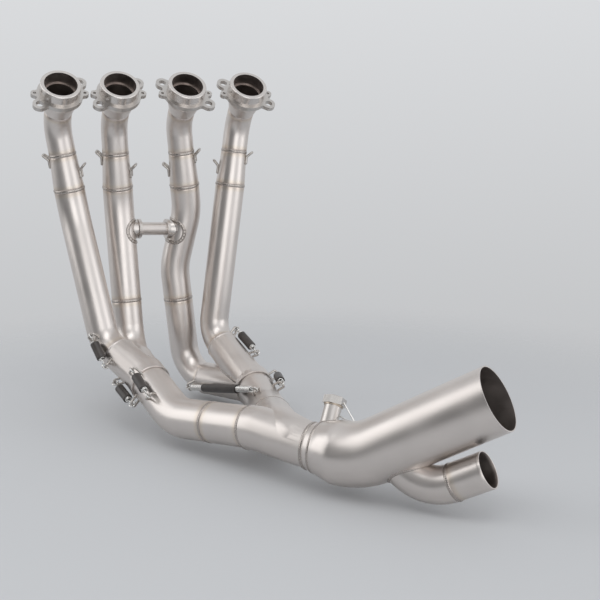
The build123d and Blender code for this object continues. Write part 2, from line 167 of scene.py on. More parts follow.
finishes = {
    "pipe": dict(colour=(0.715, 0.667, 0.635), low=0.29, high=0.38, cloud=26, bump=0.03, heat=0.42),
    "collector": dict(colour=(0.695, 0.647, 0.615), low=0.30, high=0.40, cloud=34, bump=0.04, heat=0.42),
    "collar": dict(colour=(0.71, 0.67, 0.642), low=0.20, high=0.28, cloud=40, bump=0.02, heat=0.0),
    "flange": dict(colour=(0.60, 0.575, 0.55), low=0.26, high=0.38, cloud=60, bump=0.05, heat=0.0),
    "turned": dict(colour=(0.67, 0.632, 0.602), low=0.25, high=0.35, cloud=40, bump=0.02, heat=0.0),
    "hook": dict(colour=(0.52, 0.49, 0.46), low=0.24, high=0.36, cloud=90, bump=0.04, heat=0.0),
    "spring": dict(colour=(0.74, 0.73, 0.71), low=0.16, high=0.26, cloud=90, bump=0.02, heat=0.0),
    "plug": dict(colour=(0.68, 0.65, 0.62), low=0.16, high=0.28, cloud=60, bump=0.03, heat=0.0),
    "washer": dict(colour=(0.52, 0.44, 0.36), low=0.28, high=0.40, cloud=80, bump=0.04, heat=0.0),
    "wire": dict(colour=(0.76, 0.75, 0.73), low=0.18, high=0.28, cloud=90, bump=0.02, heat=0.0),
    "bead": dict(colour=(0.46, 0.42, 0.39), low=0.20, high=0.32, cloud=160, bump=0.03, heat=0.0),
    "bore": dict(colour=(0.47, 0.42, 0.395), low=0.30, high=0.44, cloud=50, bump=0.04, heat=0.0),
    # a darker colour for the insides of the pipes
    "sooty": dict(colour=(0.31, 0.272, 0.255), low=0.38, high=0.55, cloud=50, bump=0.06, heat=0.0),
}
sleeveLook = dict(dark=(0.032, 0.027, 0.025), colour=(0.066, 0.056, 0.051), low=0.26, high=0.40, cloud=70,
                  bump=0.15)


def makeSatin(name, look, dark):  # a material with the shared finish, and its cloudy colour
    material = bpy.data.materials.new(name)
    material.use_nodes = True
    tree = material.node_tree
    shader = tree.nodes["Principled BSDF"]
    satin = addNode(tree, "ShaderNodeGroup", node_tree=satinGroup)
    satin.inputs["Cloud Scale"].default_value = look["cloud"]
    satin.inputs["Low"].default_value = look["low"]
    satin.inputs["High"].default_value = look["high"]
    patch = ramp(tree, satin.outputs["Cloud"], list(zip(satinForm["cloudRange"], (dark, look["colour"]))))
    link(tree, patch, shader.inputs["Base Color"])
    link(tree, satin.outputs["Roughness"], shader.inputs["Roughness"])
    bump = addNode(tree, "ShaderNodeBump")
    bump.inputs["Strength"].default_value = look["bump"]
    bump.inputs["Distance"].default_value = satinForm["bumpDepth"]
    link(tree, satin.outputs["Height"], bump.inputs["Height"])
    link(tree, bump.outputs["Normal"], shader.inputs["Normal"])
    return material, shader, patch


def makeMetal(name, look):
    material, shader, patch = makeSatin(name, look, [c * satinForm["patchShade"] for c in look["colour"]])
    shader.inputs["Metallic"].default_value = 1.0
    if look["heat"]:
        tree = material.node_tree
        heat = addNode(tree, "ShaderNodeGroup", node_tree=heatAndShadeGroup)
        # per-vertex weld heat tint, with painted shade bands at the lower pipes' socket rims
        mark = addNode(tree, "ShaderNodeAttribute", attribute_name="weldHeat")
        link(tree, mark.outputs["Fac"], heat.inputs["Heat"])
        link(tree, patch, heat.inputs["Base"])
        heat.inputs["Amount"].default_value = look["heat"]
        link(tree, heat.outputs["Colour"], shader.inputs["Base Color"])
    return material


metals = {name: makeMetal(name + "Titanium", look) for name, look in finishes.items()}
metals["sleeve"] = makeSatin("sleeveRubber", sleeveLook, sleeveLook["dark"])[0]
slotOf = {entry["node"]: entry["material_slot"] for entry in frame["record"]["subparts"]}
for nodeName, node in nodes.items():
    node.data.materials.clear()
    node.data.materials.append(metals[slotOf[nodeName]])
print("materials:", len(metals))

# Routes and meshes, in millimetres in the frame of the solids
# reach along a pipe, in millimetres, of the weld heat tint and of the painted shade bands at the socket rims
heatAndShadeReach = 4.5
wireEnd = dict(reach=0.3, dome=0.28, nose=0.08, tip=0.1)  # shares of the wire's diameter
beadForm = dict(points=9, width=4.0, height=0.6, pitch=1.7, ripple=0.28, curve=0.4, sink=0.25, foot=0.4,
                footWidth=0.8, spacing=0.42, samples=161, longestStep=8, fewestSteps=8)
shading = dict(onSkin=0.12, sameFacing=0.8, turnedFacing=0.9, leastWidth=0.05)


def point(values):
    return Vector(values)


def unitWay(start, end):
    return (point(end) - point(start)).normalized()


def along(start, end, distance):
    return point(start) + unitWay(start, end) * distance


def around(way, angle):
    upward = Vector((0, 0, 1))
    upward = (upward - way * upward.dot(way)).normalized()
    return upward * math.cos(math.radians(angle)) + way.cross(upward) * math.sin(math.radians(angle))


def bentRoute(points, bends=(), step=4.0, turnStep=3.0):  # points along straight runs and arcs
    corners = [point(p) for p in points]
    knots = []
    here = corners[0]

    def straight(start, end):
        count = max(1, round((end - start).length / step))
        knots.extend(start.lerp(end, k / count) for k in range(count))

    for before, corner, after, radius in zip(corners, corners[1:], corners[2:], bends):
        inWay, outWay = unitWay(before, corner), unitWay(corner, after)
        turn = inWay.angle(outWay)
        setback = radius * math.tan(turn / 2)
        arcStart = corner - inWay * setback
        straight(here, arcStart)
        axis = inWay.cross(outWay).normalized()
        centre = arcStart + axis.cross(inWay) * radius
        count = max(2, math.ceil(math.degrees(turn) / turnStep))
        for k in range(count):
            knots.append(centre + Matrix.Rotation(turn * k / count, 3, axis) @ (arcStart - centre))
        here = corner + outWay * setback
    straight(here, corners[-1])
    return knots + [corners[-1]]


def pathLength(knots):
    return sum((after - before).length for before, after in zip(knots, knots[1:]))


def frames(knots, closed=False):  # turns with the route and never twists
    ways = []
    for k in range(len(knots)):
        before = knots[k - 1] if k or closed else knots[0]
        after = knots[(k + 1) % len(knots)] if k < len(knots) - 1 or closed else knots[k]
        ways.append((after - before).normalized())
    side = ways[0].orthogonal().normalized()
    result = []
    for k, way in enumerate(ways):
        if k:
            side = ways[k - 1].rotation_difference(way) @ side
            side = (side - way * side.dot(way)).normalized()
        result.append((way, side, way.cross(side)))
    return result


def circle(centre, side, up, radius, segments):
    angles = [2 * math.pi * k / segments for k in range(segments)]
    return [centre + (side * math.cos(a) + up * math.sin(a)) * radius for a in angles]


def gridMesh(rings, closedLong=False, inner=(), heat=None):  # a closed skin over rings, with flat ends
    width = len(rings[0])
    vertices = [p * mm for ring in rings for p in ring]
    faces, marks = [], []
    for row in range(len(rings) if closedLong else len(rings) - 1):
        nextRow = (row + 1) % len(rings)
        for k in range(width):
            j = (k + 1) % width
            faces.append((row * width + k, row * width + j, nextRow * width + j, nextRow * width + k))
            marks.append(1 if row in inner else 0)
    if not closedLong:
        faces.append(tuple(range(width))[::-1])
        faces.append(tuple((len(rings) - 1) * width + k for k in range(width)))
        marks += [0, 0]
    return vertices, faces, marks, heat


def makePiece(name, parts, materials, standsFor=()):
    vertices, faces, marks, heatsAndShade = [], [], [], []
    for partVertices, partFaces, partMarks, partHeatAndShade in parts:
        base = len(vertices)
        vertices += partVertices
        faces += [tuple(base + v for v in face) for face in partFaces]
        marks += partMarks
        heatsAndShade += partHeatAndShade or [0.0] * len(partVertices)
    mesh = bpy.data.meshes.new(name)
    mesh.from_pydata([tuple(v) for v in vertices], [], faces)
    mesh.validate()
    mesh.polygons.foreach_set("use_smooth", [True] * len(mesh.polygons))
    mesh.polygons.foreach_set("material_index", marks)
    # weld heat tint and painted shade bands, per vertex
    attribute = mesh.attributes.new("weldHeat", "FLOAT", "POINT")
    attribute.data.foreach_set("value", heatsAndShade)
    for material in materials:
        mesh.materials.append(metals[material])
    mesh.update()
    piece = bpy.data.objects.new(name, mesh)
    scene.collection.objects.link(piece)
    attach(piece, "root")
    if standsFor:
        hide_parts(*standsFor)
    return piece


# the fifth argument gives places along the route for weld heat tint, and for painted shade bands where a pipe
# enters a socket
def tubePart(knots, outerStart, outerEnd, wall, weldsAndShade=(), segments=64, chamfer=0.25):
    lengths = [0.0]
    for before, after in zip(knots, knots[1:]):
        lengths.append(lengths[-1] + (after - before).length)
    total = lengths[-1]
    turned = frames(knots)

    def ring(k, radius, slide=0.0):
        way, side, up = turned[k]
        return circle(knots[k] + way * slide, side, up, radius, segments)

    outer = [outerStart / 2 + (outerEnd - outerStart) / 2 * s / total for s in lengths]
    last = len(knots) - 1
    rings = [ring(0, outer[0] - wall + chamfer), ring(0, outer[0] - chamfer), ring(0, outer[0], chamfer)]
    rings += [ring(k, outer[k]) for k in range(1, last)]
    rings += [ring(last, outer[last], -chamfer), ring(last, outer[last] - chamfer)]
    rings += [ring(last, outer[last] - wall + chamfer), ring(last, outer[last] - wall, -chamfer)]
    insideFrom = len(rings) - 1
    rings += [ring(k, outer[k] - wall) for k in range(last - 1, 0, -1)]
    rings += [ring(0, outer[0] - wall, chamfer)]
    stations = [0, 0, 0] + list(range(1, last)) + [last] * 4 + list(range(last - 1, 0, -1)) + [0]
    heat = []
    for k in stations:
        mark = max([math.exp(-((lengths[k] - weld) / heatAndShadeReach) ** 2) for weld in weldsAndShade], default=0.0)
        heat += [mark] * segments
    inner = set(range(insideFrom, len(rings)))
    return gridMesh(rings, True, inner, heat)


def wirePart(knots, diameter, segments=10, closed=False):
    turned = frames(knots, closed)
    rings = [circle(knot, side, up, diameter / 2, segments) for knot, (way, side, up) in zip(knots, turned)]
    if not closed:  # domed ends
        for end, sign in ((0, -1), (-1, 1)):
            way, side, up = turned[end]
            outward = way * sign * diameter
            tip = knots[end] + outward * wireEnd["reach"]
            dome = circle(tip, side, up, diameter * wireEnd["dome"], segments)
            nose = circle(tip + outward * wireEnd["nose"], side, up, diameter * wireEnd["tip"], segments)
            rings = [nose, dome] + rings if sign < 0 else rings + [dome, nose]
    return gridMesh(rings, closed)


def beadPart(loop, outs, width, height, closed=True, pitch=beadForm["pitch"]):  # a rippled weld bead
    count = len(loop)
    travel = 0.0
    rings = []
    across, sink = beadForm["points"], beadForm["sink"]
    for k in range(count):
        after = loop[(k + 1) % count] if closed or k < count - 1 else loop[k]
        before = loop[k - 1] if closed or k else loop[k]
        way = (after - before).normalized()
        out = (outs[k] - way * outs[k].dot(way)).normalized()
        side = way.cross(out)
        if k:
            travel += (loop[k] - loop[k - 1]).length
        ring = []
        for j in range(across):
            u = -1 + 2 * j / (across - 1)
            ripple = abs(math.sin(math.pi * (travel / pitch + beadForm["curve"] * u * u)))
            crown = height * math.sqrt(max(0.0, 1 - u * u)) * (1 - beadForm["ripple"] * (1 - ripple))
            ring.append(loop[k] + side * (u * width / 2) + out * (crown - sink * abs(u)))
        for u in (beadForm["footWidth"], -beadForm["footWidth"]):  # its foot in the wall
            ring.append(loop[k] + side * (u * width / 2) - out * (sink + beadForm["foot"]))
        rings.append(ring)
    return gridMesh(rings, closed)


def ringBead(centre, way, radius, width=beadForm["width"], height=beadForm["height"], pitch=beadForm["pitch"],
             lift=0.0):
    radius += lift
    count = round(2 * math.pi * radius / beadForm["spacing"])
    side = way.orthogonal().normalized()
    outs = circle(Vector(), side, way.cross(side), 1.0, count)
    return beadPart([centre + out * radius for out in outs], outs, width, height, True, pitch)


class RoundSkin:  # distance to, and normal of, a round bar that follows a route
    def __init__(self, knots, startOd, endOd=None):
        self.knots = np.array([tuple(k) for k in knots])
        self.start = startOd / 2
        self.end = (endOd or startOd) / 2
        steps = np.linalg.norm(np.diff(self.knots, axis=0), axis=1)
        self.lengths = np.concatenate([[0], np.cumsum(steps)])

    def measure(self, places):
        places = np.atleast_2d(places)
        best = np.full(len(places), 1e9)
        normal = np.zeros_like(places)
        slope = (self.end - self.start) / self.lengths[-1]
        for k in range(len(self.knots) - 1):
            start, leg = self.knots[k], self.knots[k + 1] - self.knots[k]
            size = np.linalg.norm(leg)
            part = np.clip((places - start) @ leg / size ** 2, 0, 1)
            off = places - start - part[:, None] * leg
            away = np.linalg.norm(off, axis=1) + 1e-9
            radius = self.start + slope * (self.lengths[k] + part * size)
            gap = away - radius
            nearer = away < best
            best = np.where(nearer, away, best)
            if k == 0:
                gaps = gap.copy()
            gaps = np.where(nearer, gap, gaps)
            lean = off / away[:, None] - slope * leg / size
            lean /= np.linalg.norm(lean, axis=1)[:, None]
            normal[nearer] = lean[nearer]
        return gaps, normal


def meetBead(branch, host, count, width, height):  # bead where a straight branch lands on a host
    start, end, startOd, endOd = branch
    way = unitWay(start, end)
    side = way.orthogonal().normalized()
    up = way.cross(side)
    size = (point(end) - point(start)).length
    shares = np.linspace(0, 1, beadForm["samples"])
    loop, outs = [], []
    for k in range(count):
        angle = 2 * math.pi * k / count
        out = side * math.cos(angle) + up * math.sin(angle)
        radii = [(startOd + (endOd - startOd) * share) / 2 for share in shares]
        places = np.array([tuple(point(start) + way * (size * share) + out * radius)
                           for share, radius in zip(shares, radii)])
        gaps, normals = host.measure(places)
        crossing = [i for i in range(len(shares) - 1) if (gaps[i] > 0) != (gaps[i + 1] > 0)]
        if not crossing:
            loop.append(None)
            outs.append(None)
            continue
        i = crossing[-1] if gaps[0] <= 0 else crossing[0]
        t = gaps[i] / (gaps[i] - gaps[i + 1])
        loop.append(Vector(places[i] + (places[i + 1] - places[i]) * t))
        outs.append((Vector(normals[i]) + out).normalized())
    if all(p is not None for p in loop):
        return [beadPart(loop, outs, width, height)]
    gapAt = next((k for k in range(count) if loop[k] is None), 0)
    loop = loop[gapAt:] + loop[:gapAt]
    outs = outs[gapAt:] + outs[:gapAt]
    beads, run, runOuts = [], [], []
    for p, out in zip(loop + [None], outs + [None]):
        if p is None or (run and (p - run[-1]).length > beadForm["longestStep"]):
            if len(run) > beadForm["fewestSteps"]:
                beads.append(beadPart(run, runOuts, width, height, False))
            run, runOuts = [], []
        if p is not None:
            run.append(p)
            runOuts.append(out)
    return beads


def readMesh(mesh):  # places in millimetres, face normals, and each corner's vertex and face
    places = np.empty(len(mesh.vertices) * 3)
    mesh.vertices.foreach_get("co", places)
    normals = np.empty(len(mesh.polygons) * 3)
    mesh.polygons.foreach_get("normal", normals)
    loopVertex = np.empty(len(mesh.loops), int)
    mesh.loops.foreach_get("vertex_index", loopVertex)
    loopFace = np.repeat(np.arange(len(mesh.polygons)), 3)
    return places.reshape(-1, 3) / mm, normals.reshape(-1, 3), loopVertex, loopFace


def shadeMesh(mesh, cornerNormals):
    mesh.polygons.foreach_set("use_smooth", [True] * len(mesh.polygons))
    mesh.normals_split_custom_set([tuple(n) for n in cornerNormals])


def smoothNode(nodeName, skins, boreSkins, flow=False):  # exact normals for a solid's own mesh
    mesh = nodes[nodeName].data
    places, normals, loopVertex, loopFace = readMesh(mesh)
    best = np.full(len(mesh.loops), shading["onSkin"])
    chosen = normals[loopFace].copy()
    onBore = np.zeros(len(mesh.loops), bool)
    total = np.zeros((len(mesh.loops), 3))
    for skin, sign in [(s, 1) for s in skins] + [(s, -1) for s in boreSkins]:
        gaps, skinNormals = skin.measure(places)
        gap = np.abs(gaps)[loopVertex]
        facing = skinNormals[loopVertex] * sign
        alike = (facing * normals[loopFace]).sum(1) > shading["sameFacing"]
        fits = (gap < best) & alike
        best = np.where(fits, gap, best)
        chosen[fits] = facing[fits]
        onBore[fits] = sign < 0
        near = (gap < shading["onSkin"]) & alike
        total[near] += facing[near]
    if flow:  # no crease where two round skins follow each other
        chosen = np.where(np.abs(total).sum(1, keepdims=True) > 0, total, chosen)
        chosen /= np.linalg.norm(chosen, axis=1, keepdims=True)
    shadeMesh(mesh, chosen)
    mesh.materials.append(metals["sooty"])
    inside = np.bincount(loopFace, onBore, len(mesh.polygons)) > 2
    mesh.polygons.foreach_set("material_index", inside.astype(int))
    mesh.update()


def smoothTurned(nodeName, start, way):  # exact normals for a solid turned round one axis
    mesh = nodes[nodeName].data
    places, normals, loopVertex, loopFace = readMesh(mesh)
    places = places - np.array(start)
    axis = np.array(way)
    radial = places - np.outer(places @ axis, axis)
    radial /= np.linalg.norm(radial, axis=1, keepdims=True) + 1e-9
    faceNormal = normals[loopFace]
    level = faceNormal @ axis
    aside = faceNormal - np.outer(level, axis)
    width = np.linalg.norm(aside, axis=1)
    turn = (aside * radial[loopVertex]).sum(1)
    fits = (np.abs(turn) > shading["turnedFacing"] * width) & (width > shading["leastWidth"])
    turned = radial[loopVertex] * (np.sign(turn) * width)[:, None] + np.outer(level, axis)
    shadeMesh(mesh, np.where(fits[:, None], turned, faceNormal))
    mesh.update()


def paintCollar(nodeName, start, way):  # the neck has the pipe's finish, the bore a darker one
    mesh = nodes[nodeName].data
    mesh.materials.append(metals["pipe"])
    mesh.materials.append(metals["bore"])
    for face in mesh.polygons:
        offset = face.center / mm - start
        depth = offset.dot(way)
        aside = offset - way * depth
        outward = face.normal.dot(aside.normalized())
        inBore = depth > inlets["rim"] and aside.length < inlets["bore"] / 2
        ledge = inBore and face.normal.dot(way) < -inlets["ledgeFacing"]
        if outward < -inlets["sideFacing"] or ledge:
            face.material_index = 2
        elif outward > inlets["sideFacing"] and depth > inlets["neckFrom"]:
            face.material_index = 1


# Primary pipes
inlets = dict(x=(0, 68, 149, 226), tilt=44, collar=41.5, bore=37.5, rim=13.5, neckFrom=18, firstRun=65.5,
              firstBend=45, ledgeFacing=0.5, sideFacing=0.3)
primaries = dict(
    upperOd=32, lowerOd=37, wall=1.2, seam=35, cone=43, depth=12, lowerSeam2=120, lowerSeam3=43,
    routes=(((17, 56.4, -151.5), (39, 6.4, -306.5)), ((75, 66.4, -147.5), (80, 49.4, -332.5)),
            ((163, 66.4, -157.5), (147, 76.4, -230.5), (161, 74.4, -379.5)), ((189, 47.4, -317.5),)),
    bends=((120, 37), (120, 45), (90, 90, 40), (36,)), reach=(58, 70, 90, 82))
merges = dict(left=(77, -56.6, -342.5), right=(213.5, -42.6, -368.5), final=(186, -296.6, -359.5),
              socketOd=40.5, socketBore=37.5, branchBore=42, rimOd=48.5, rimBore=45.5,
              rimLead=8, rimDepth=14, rimLength=20, overruns=(2.0, 0.5),
              branchWeld=dict(count=200, width=4.0, height=0.8),
              lipInset=1.6, lip=dict(width=3.2, height=0.55, pitch=90))
tilt = math.radians(inlets["tilt"])
inletWay = Vector((0, math.sin(tilt), -math.cos(tilt)))
upperOd, lowerOd, wall = primaries["upperOd"], primaries["lowerOd"], primaries["wall"]
beads = []
tubes = []
rims, ways, coneStarts, lowerRoutes, midRoutes = {}, {}, {}, {}, {}
for number in (1, 2, 3, 4):
    route = primaries["routes"][number - 1]
    bends = primaries["bends"][number - 1]
    mouth = Vector((inlets["x"][number - 1], 0, 0))
    corner = mouth + inletWay * inlets["firstRun"]
    seam = along(corner, route[0], primaries["seam"])
    coneEnd = along(corner, route[0], primaries["seam"] + primaries["cone"])
    down = unitWay(corner, route[0])
    merge = merges["left"] if number <= 2 else merges["right"]
    reach = primaries["reach"][number - 1]
    rims[number] = along(merge, route[-1], reach)
    ways[number] = unitWay(route[-1], merge)
    pipeEnd = along(merge, route[-1], reach - primaries["depth"])
    collarEnd = mouth + inletWay * inlets["collar"]
    coneStarts[number] = (seam, down)

    knots = bentRoute((collarEnd, corner, seam), (inlets["firstBend"],))
    length = pathLength(knots)
    tubes.append((f"upperPipe{number}", tubePart(knots, upperOd, upperOd, wall, (0, length)),
                  f"primary_upper_{number}"))
    cone = bentRoute((seam, coneEnd))
    tubes.append((f"conePipe{number}", tubePart(cone, upperOd, lowerOd, wall, (0, primaries["cone"])),
                  f"primary_cone_{number}"))
    beads.append(ringBead(seam, down, upperOd / 2))
    beads.append(ringBead(coneEnd, down, lowerOd / 2))

    split = {2: 1, 3: 2}.get(number, 0)  # the inner pipes have one more seam
    lowerStart = coneEnd
    if split:
        seamRun = primaries[f"lowerSeam{number}"]
        lowerStart = along(route[split - 1], route[split], seamRun)
        midRoutes[number] = bentRoute((coneEnd, *route[:split], lowerStart), bends[:split])
        knots = midRoutes[number]
        length = pathLength(knots)
        tubes.append((f"midPipe{number}", tubePart(knots, lowerOd, lowerOd, wall, (0, length)),
                      f"primary_mid_{number}"))
        beads.append(ringBead(lowerStart, unitWay(route[split - 1], route[split]), lowerOd / 2))
    lowerRoutes[number] = bentRoute((lowerStart, *route[split:], pipeEnd), bends[split:])
    # painted shade: a brown heat-film band where the lower pipe enters its socket rim, for the shadow in the
    # gap there
    slipShadeAt = pathLength(lowerRoutes[number]) - primaries["depth"]
    tubes.append((f"lowerPipe{number}", tubePart(lowerRoutes[number], lowerOd, lowerOd, wall, (0, slipShadeAt)),
                  f"primary_lower_{number}"))

# Secondary pipes
secondaries = dict(od=45, leftCorner=(92, -126.6, -369.5), leftBend=70, leftSeam=58,
                   leftEnd=(146, -227.6, -356.5), rightCorner=(211, -97.6, -380.5), rightBend=60, rightRun=75,
                   segments=80, endWeld=dict(width=5.0, height=1.1, lift=0.4))
finalPipe = dict(od=47, turn=12, trim=6, lead=38, rise=6, bend=55, joinBend=45,
                 joinWeld=dict(count=300, width=4.6, height=0.9),
                 ringWeld=dict(width=4.6, height=1.0, lift=0.3))
secondaryOd = secondaries["od"]
leftCorner, leftEnd = secondaries["leftCorner"], secondaries["leftEnd"]
rightCorner = secondaries["rightCorner"]
leftExitWay = unitWay(merges["left"], leftCorner)
rightExitWay = unitWay(merges["right"], rightCorner)
exits = {"left": point(merges["left"]) + leftExitWay * merges["rimLead"],
         "right": point(merges["right"]) + rightExitWay * merges["rimLead"]}
leftSeam = along(leftCorner, leftEnd, secondaries["leftSeam"])
finalCorner = point(leftEnd) + unitWay(leftCorner, leftEnd) * finalPipe["turn"]
finalJoin = along(merges["final"], finalCorner, finalPipe["lead"]) + Vector((0, 0, finalPipe["rise"]))
rightEnd = along(rightCorner, finalJoin, secondaries["rightRun"])
secondaryRoutes = {
    "secondary_left_bend": bentRoute((exits["left"] - leftExitWay * merges["rimDepth"], leftCorner, leftSeam),
                                     (secondaries["leftBend"],)),
    "secondary_left_straight": bentRoute((leftSeam, leftEnd)),
    "secondary_right": bentRoute((exits["right"] - rightExitWay * merges["rimDepth"], rightCorner, rightEnd),
                                 (secondaries["rightBend"],)),
}
for nodeName, knots in secondaryRoutes.items():
    length = pathLength(knots)
    weldsAndShade = (length,) if nodeName != "secondary_left_straight" else (0, length)
    words = nodeName.split("_")
    tubes.append((words[0] + "".join(w.capitalize() for w in words[1:]) + "Pipe",
                  tubePart(knots, secondaryOd, secondaryOd, wall, weldsAndShade, secondaries["segments"]), nodeName))
leftRun = unitWay(leftCorner, leftEnd)
beads.append(ringBead(leftSeam, leftRun, secondaryOd / 2))
beads.append(ringBead(point(leftEnd), leftRun, secondaryOd / 2, **secondaries["endWeld"]))
beads.append(ringBead(rightEnd, unitWay(rightCorner, finalJoin), secondaryOd / 2))

# Outlet and bypass
outlet = dict(od=65, cone=30, corner=(221, -339.6, -361.5), end=(312, -436.6, -284.5), bend=75,
              ringAt=9.0, ringWeld=dict(width=3.6, height=0.7, lift=-0.1))
bypass = dict(od=37, angle=173.6, start=29, sink=22, turn=52, turnGap=22, length=116, endGap=23.6,
              bend=46, seam=28, weld=dict(count=260, width=5.2, height=1.1))
outletCorner, outletEnd = outlet["corner"], outlet["end"]
finalWay = unitWay(merges["final"], outletCorner)
outletWay = unitWay(outletCorner, outletEnd)
coneTop = along(merges["final"], outletCorner, outlet["cone"])
bypassWay = around(outletWay, bypass["angle"])


def bypassPoint(distance, gap):  # along the outlet, and off its wall
    return along(outletCorner, outletEnd, distance) + bypassWay * (outlet["od"] / 2 + gap)


bypassRoot = bypassPoint(bypass["start"], -bypass["sink"])
bypassCorner = bypassPoint(bypass["turn"], bypass["turnGap"])
bypassEnd = bypassPoint(bypass["length"], bypass["endGap"])
bypassSeam = along(bypassCorner, bypassEnd, bypass["seam"])
bypassTail = tubePart(bentRoute((bypassSeam, bypassEnd)), bypass["od"], bypass["od"], wall, (0,))
tubes.append(("bypassTail", bypassTail, "bypass_pipe"))
beads.append(ringBead(bypassSeam, unitWay(bypassCorner, bypassEnd), bypass["od"] / 2))
for name, part, nodeName in tubes:
    makePiece(name, [part], ("pipe", "sooty"), (nodeName,))
print("pipes:", len(tubes))

# Exact shading for the solids that stay as they are
branchSteps, outletSteps = dict(step=3.0, turnStep=2.0), dict(step=20.0, turnStep=1.0)
final = point(merges["final"])
leftTip = final + unitWay(finalCorner, final) * finalPipe["trim"]
rightTip = final + unitWay(finalJoin, final) * finalPipe["trim"]
leftBranch = bentRoute((leftEnd, finalCorner, leftTip), (finalPipe["bend"],), **branchSteps)
rightBranch = bentRoute((rightEnd, finalJoin, rightTip), (finalPipe["joinBend"],), **branchSteps)
leftHull, leftBore = RoundSkin(leftBranch, finalPipe["od"]), RoundSkin(leftBranch, finalPipe["od"] - 2 * wall)
rightHull, rightBore = RoundSkin(rightBranch, secondaryOd), RoundSkin(rightBranch, secondaryOd - 2 * wall)
smoothNode("final_collector", [leftHull, rightHull], [leftBore, rightBore])
outletCone = bentRoute((merges["final"], coneTop))
coneHull = RoundSkin(outletCone, finalPipe["od"], outlet["od"])
coneBore = RoundSkin(outletCone, finalPipe["od"] - 2 * wall, outlet["od"] - 2 * wall)
fineOutlet = bentRoute((coneTop, outletCorner, outletEnd), (outlet["bend"],), **outletSteps)
outletHull, outletBore = RoundSkin(fineOutlet, outlet["od"]), RoundSkin(fineOutlet, outlet["od"] - 2 * wall)
smoothNode("outlet_pipe", [coneHull, outletHull], [coneBore, outletBore], flow=True)
fineElbow = bentRoute((bypassRoot, bypassCorner, bypassSeam), (bypass["bend"],), **outletSteps)
elbowHull, elbowBore = RoundSkin(fineElbow, bypass["od"]), RoundSkin(fineElbow, bypass["od"] - 2 * wall)
smoothNode("bypass_elbow", [elbowHull], [elbowBore])
branches = {}
lips = []
for sideName, pair in (("left", (1, 2)), ("right", (3, 4))):
    merge, exitWay = merges[sideName], leftExitWay if sideName == "left" else rightExitWay
    hulls, bores = [], []
    for number, overrun in zip(pair, merges["overruns"]):
        tip = point(merge) + ways[number] * overrun
        path = bentRoute((rims[number], tip))
        branches[number] = (rims[number], tip, merges["socketOd"], secondaryOd)
        hulls.append(RoundSkin(path, merges["socketOd"], secondaryOd))
        lipAt = rims[number] + ways[number] * merges["lipInset"]
        lips.append(ringBead(lipAt, ways[number], merges["socketOd"] / 2, **merges["lip"]))
        bores.append(RoundSkin(path, merges["socketBore"], merges["branchBore"]))
    rim = exits[sideName]
    lips.append(ringBead(rim - exitWay * merges["lipInset"], exitWay, merges["rimOd"] / 2, **merges["lip"]))
    path = bentRoute((rim - exitWay * merges["rimLength"], rim))
    smoothNode(f"collector_{sideName}", hulls + [RoundSkin(path, merges["rimOd"])],
               bores + [RoundSkin(path, merges["rimBore"])])
    beads += meetBead(branches[pair[1]], hulls[0], **merges["branchWeld"])
makePiece("socketLips", lips, ("collector",))
for number in (1, 2, 3, 4):
    smoothTurned(f"inlet_collar_{number}", (inlets["x"][number - 1], 0, 0), inletWay)
    paintCollar(f"inlet_collar_{number}", Vector((inlets["x"][number - 1], 0, 0)), inletWay)
print("solids smoothed")

# Saddle welds of the bypass, the final collector, the crossover and the sensor boss
crossover = dict(drop2=29.5, drop3=24.5, baseOd=36.4, endOd=22, reach2=21.5, reach3=20,
                 saddleTurn=78, saddleHalf=14, saddleDrop=4, saddleSteps=200, saddlePower=0.5,
                 saddleWeld=dict(width=5.0, height=1.1, pitch=4.2),
                 stubWeld=dict(count=160, width=3.0, height=0.4))
boss = dict(offset=12.5, lean=(0.422, 0.344, 0.838), od=18, height=17,
            weld=dict(count=130, width=3.6, height=0.9))
beads += meetBead((bypassRoot, bypassCorner, bypass["od"], bypass["od"]), outletHull, **bypass["weld"])
beads += meetBead((rightEnd, finalJoin, secondaryOd, secondaryOd), leftHull, **finalPipe["joinWeld"])
beads.append(ringBead(final, finalWay, finalPipe["od"] / 2, **finalPipe["ringWeld"]))


def coneRadius(distance):  # of the outlet's widening cone
    return (finalPipe["od"] + (outlet["od"] - finalPipe["od"]) * distance / outlet["cone"]) / 2


beads.append(ringBead(final + finalWay * outlet["ringAt"], finalWay, coneRadius(outlet["ringAt"]),
                      **outlet["ringWeld"]))
crossEnds = {n: along(primaries["routes"][n - 1][0], primaries["routes"][n - 1][1], crossover[f"drop{n}"])
             for n in (2, 3)}
for number, other in ((2, 3), (3, 2)):
    root = crossEnds[number]
    ringStart = along(root, crossEnds[other], crossover[f"reach{number}"])
    host = RoundSkin(midRoutes[number], lowerOd)
    toOther = unitWay(root, crossEnds[other])
    smoothTurned(f"crossover_stub_{number}", root, toOther)
    lean = unitWay(primaries["routes"][number - 1][0], primaries["routes"][number - 1][1])
    aside = (toOther - lean * toOther.dot(lean)).normalized()
    loop = []
    for k in range(crossover["saddleSteps"]):  # round the stub's saddle, nearly upright on the pipe's face
        angle = 2 * math.pi * k / crossover["saddleSteps"]
        swing = math.cos(angle)
        swing = math.copysign(abs(swing) ** crossover["saddlePower"], swing)
        turn = math.radians(crossover["saddleTurn"]) * swing
        drop = crossover["saddleDrop"] + crossover["saddleHalf"] * math.sin(angle)
        loop.append(root + Matrix.Rotation(turn, 3, lean) @ aside * (lowerOd / 2) + lean * drop)
    gaps, outs = host.measure(np.array([tuple(p) for p in loop]))
    loop = [p - Vector(out) * float(gap) for p, out, gap in zip(loop, outs, gaps)]
    beads.append(beadPart(loop, [Vector(out) for out in outs], **crossover["saddleWeld"]))
    stub = (root, ringStart, crossover["baseOd"], crossover["endOd"])
    beads += meetBead(stub, host, **crossover["stubWeld"])
